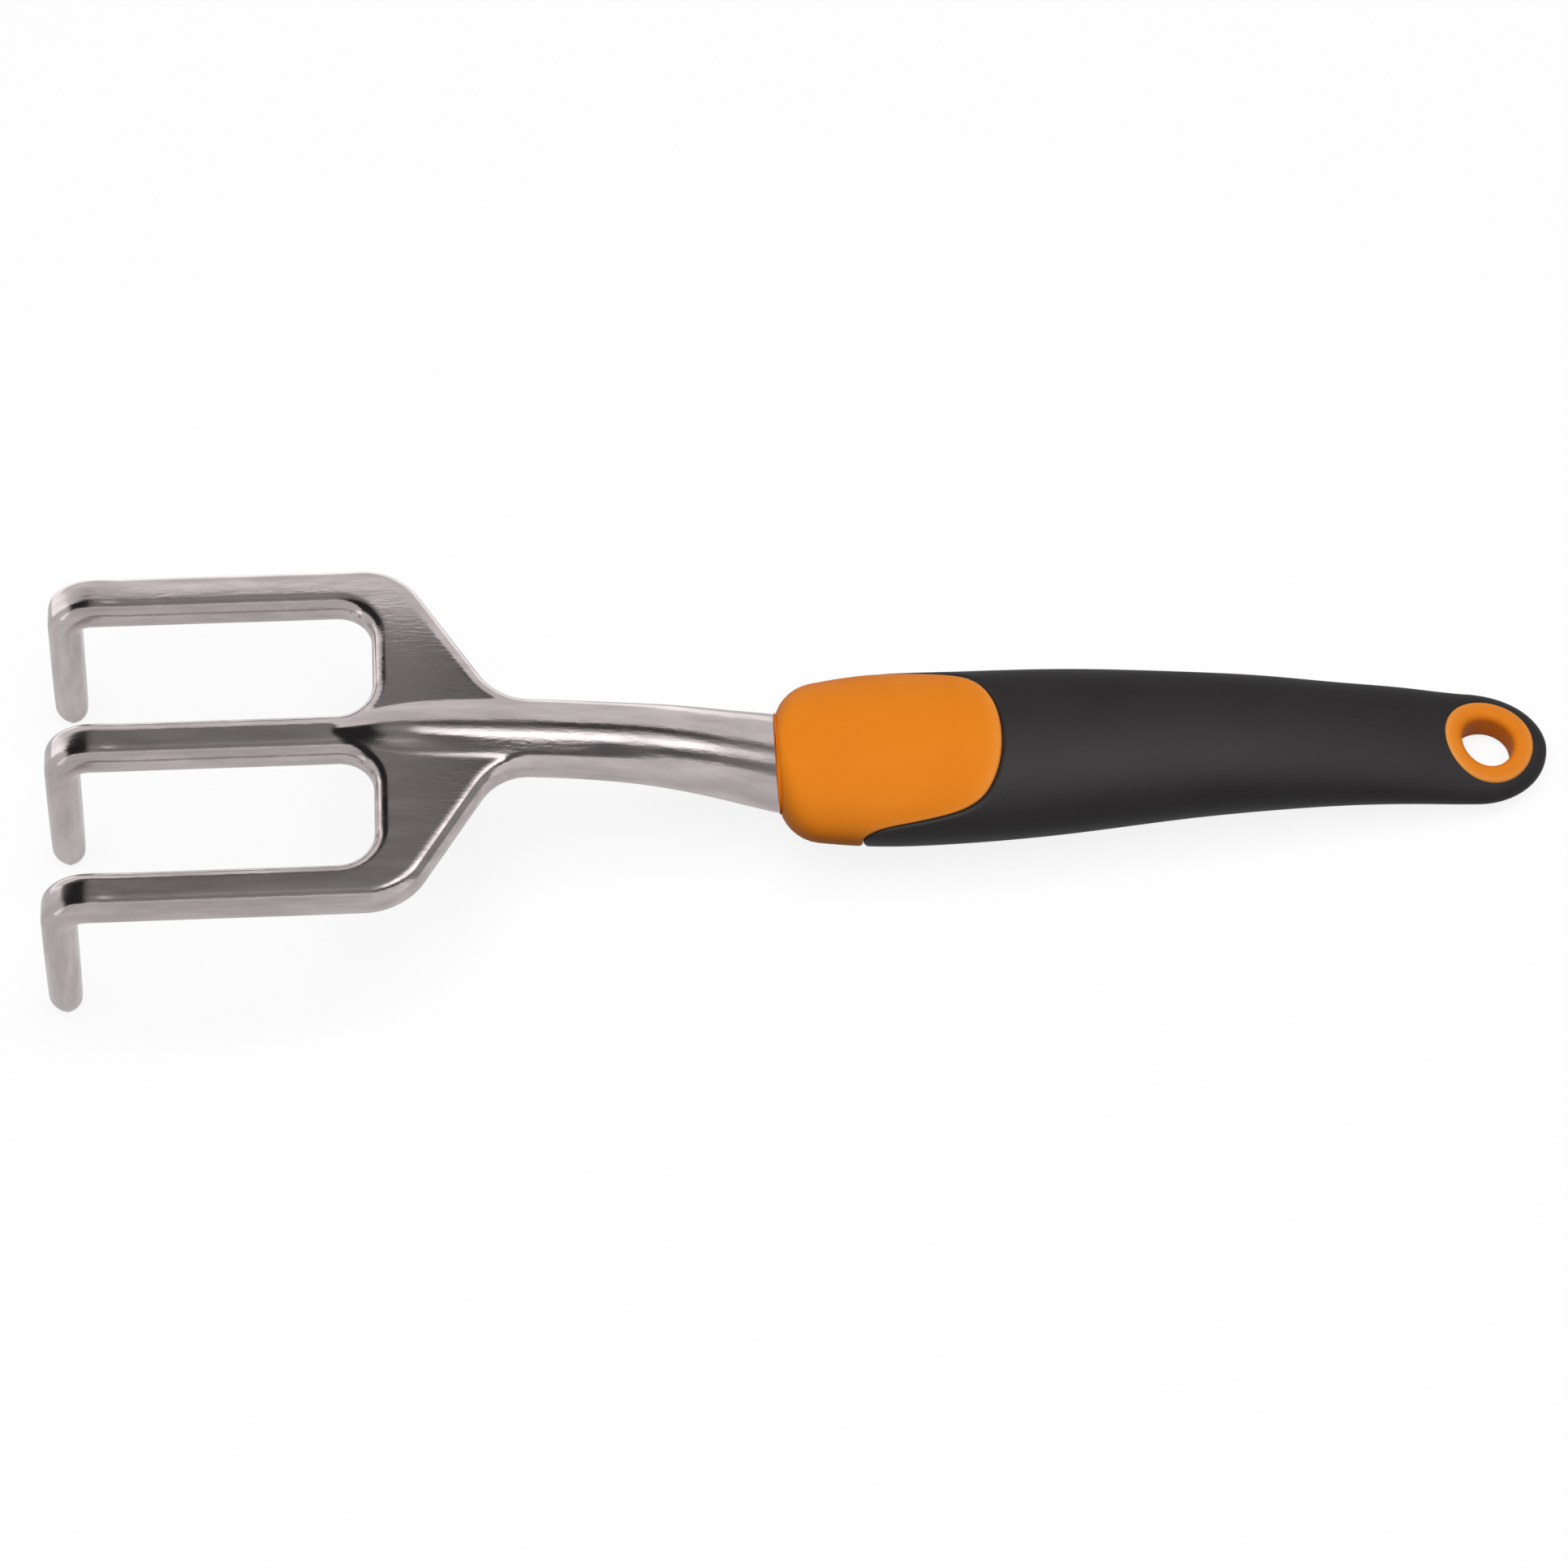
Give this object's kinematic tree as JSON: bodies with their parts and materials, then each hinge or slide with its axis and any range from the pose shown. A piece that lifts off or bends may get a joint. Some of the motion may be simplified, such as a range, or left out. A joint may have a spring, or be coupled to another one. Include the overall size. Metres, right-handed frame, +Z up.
{
  "type": "hand cultivator",
  "caption": "Garden hand cultivator: a cast aluminium head of hooked tines on a curved neck, set in a rigid handle core with a soft overmoulded grip, thumb rest and hang hole.",
  "frame": {"origin": "on the resting surface, under the middle of the tool's bounding box", "axes": "+X from the tines to the hang hole end, +Z up, the XZ plane is the tool's plane of symmetry"},
  "size_m": [0.2966, 0.0754, 0.0443],
  "materials": {
    "cast_head": "polished, with fine lengthwise polishing lines",
    "rigid_core": "matt orange moulding",
    "soft_grip": "matt charcoal soft-touch overmoulding"
  },
  "bodies": {
    "root": {"head_casting": "cast_head", "handle_core": "rigid_core", "soft_grip": "soft_grip"}
  },
  "joints": []
}
